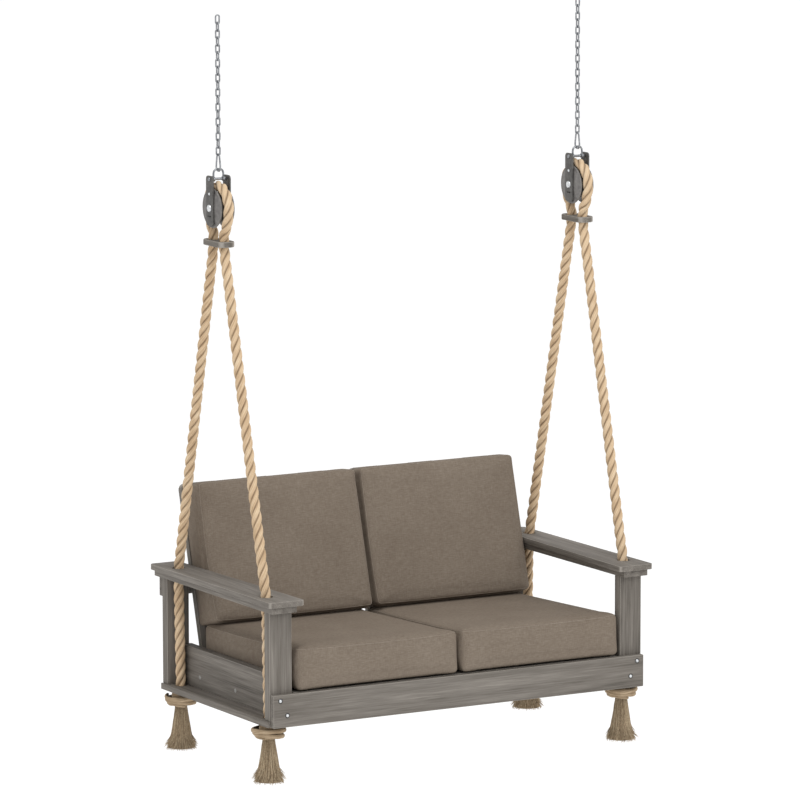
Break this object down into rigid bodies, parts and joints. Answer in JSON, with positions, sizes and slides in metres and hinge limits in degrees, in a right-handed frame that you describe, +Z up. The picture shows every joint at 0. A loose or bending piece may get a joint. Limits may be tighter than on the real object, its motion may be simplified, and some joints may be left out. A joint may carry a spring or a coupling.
{
  "type": "porch swing",
  "caption": "Slatted wooden porch swing with thick seat and back cushions, hung by ropes over pulley blocks on chains with links for ceiling hooks.",
  "frame": {"origin": "midway between the bearing points of the two top chain links, which hang on two ceiling hooks", "axes": "+Z up; -Y towards the front, where the sitters face; +X along the bench, to the right as seen from the front"},
  "size_m": [1.5538, 0.934, 2.6469],
  "materials": {
    "weathered_wood": "matte",
    "cushion_cloth": "matte",
    "rope": "matte",
    "block_cheek": "satin",
    "block_iron": "satin",
    "zinc": "satin"
  },
  "bodies": {
    "hang_links": {"top_link_left": "zinc", "top_link_right": "zinc"},
    "hanger_left": {"second_link_left": "zinc"},
    "chain_left": {"chain_left": "zinc"},
    "shackle_left": {"shackle_left": "zinc"},
    "hanger_right": {"second_link_right": "zinc"},
    "chain_right": {"chain_right": "zinc"},
    "shackle_right": {"shackle_right": "zinc"},
    "seat": {"apron_left": "weathered_wood", "apron_right": "weathered_wood", "arm_left": "weathered_wood", "arm_right": "weathered_wood", "arm_support_left": "weathered_wood", "arm_support_right": "weathered_wood", "axle_left": "zinc", "axle_right": "zinc", "back_cushion_left": "cushion_cloth", "back_cushion_right": "cushion_cloth", "back_slat_1": "weathered_wood", "back_slat_2": "weathered_wood", "back_slat_3": "weathered_wood", "back_slat_4": "weathered_wood", "back_slat_5": "weathered_wood", "back_slat_6": "weathered_wood", "block_pin_left": "zinc", "block_pin_right": "zinc", "bottom_board_left": "weathered_wood", "bottom_board_right": "weathered_wood", "cheek_inner_left": "block_cheek", "cheek_inner_right": "block_cheek", "cheek_outer_left": "block_cheek", "cheek_outer_right": "block_cheek", "front_post_left": "weathered_wood", "front_post_right": "weathered_wood", "front_rail": "weathered_wood", "front_seat_rail": "weathered_wood", "rear_post_left": "weathered_wood", "rear_post_right": "weathered_wood", "rear_seat_rail": "weathered_wood", "rope_left": "rope", "rope_right": "rope", "seat_cleat_left": "weathered_wood", "seat_cleat_right": "weathered_wood", "seat_cushion_left": "cushion_cloth", "seat_cushion_right": "cushion_cloth", "seat_joist": "weathered_wood", "seat_slat_1": "weathered_wood", "seat_slat_2": "weathered_wood", "seat_slat_3": "weathered_wood", "seat_slat_4": "weathered_wood", "spacer_plate_left": "weathered_wood", "spacer_plate_right": "weathered_wood", "strap_inner_left": "block_iron", "strap_inner_right": "block_iron", "strap_outer_left": "block_iron", "strap_outer_right": "block_iron", "upper_back_rail": "weathered_wood"},
    "sheave_left": {"sheave_left": "block_iron"},
    "sheave_right": {"sheave_right": "block_iron"}
  },
  "joints": [
    {"name": "swing_left", "type": "hinge", "parent": "hang_links", "child": "hanger_left", "pos_m": [-0.727, 0, -0.0285], "axis": [1, 0, 0], "range_deg": [-30, 30]},
    {"name": "sway_left", "type": "hinge", "parent": "hanger_left", "child": "chain_left", "pos_m": [-0.727, 0, -0.0538], "axis": [0, 1, 0], "range_deg": [-10, 10]},
    {"name": "swing_right", "type": "hinge", "parent": "hang_links", "child": "hanger_right", "pos_m": [0.727, 0, -0.0285], "axis": [1, 0, 0], "range_deg": [-30, 30]},
    {"name": "sway_right", "type": "hinge", "parent": "hanger_right", "child": "chain_right", "pos_m": [0.727, 0, -0.0538], "axis": [0, 1, 0], "range_deg": [-10, 10]},
    {"name": "level_left", "type": "hinge", "parent": "chain_left", "child": "shackle_left", "pos_m": [-0.727, 0, -0.5377], "axis": [0, 1, 0], "range_deg": [-10, 10]},
    {"name": "seat_pitch", "type": "hinge", "parent": "shackle_left", "child": "seat", "pos_m": [-0.727, 0, -0.5647], "axis": [1, 0, 0], "range_deg": [-12, 12]},
    {"name": "pitch_right", "type": "hinge", "parent": "seat", "child": "shackle_right", "pos_m": [0.727, 0, -0.5647], "axis": [1, 0, 0], "range_deg": [-12, 12]},
    {"name": "sheave_left", "type": "hinge", "parent": "seat", "child": "sheave_left", "pos_m": [-0.727, 0, -0.6657], "axis": [1, 0, 0], "range_deg": [-35, 35]},
    {"name": "sheave_right", "type": "hinge", "parent": "seat", "child": "sheave_right", "pos_m": [0.727, 0, -0.6657], "axis": [1, 0, 0], "range_deg": [-35, 35]}
  ],
  "couplings": [
    {"joint": "swing_right", "follows": "swing_left", "ratio": 1},
    {"joint": "sway_right", "follows": "sway_left", "ratio": 1},
    {"joint": "level_left", "follows": "sway_left", "ratio": -1},
    {"joint": "pitch_right", "follows": "seat_pitch", "ratio": -1}
  ]
}
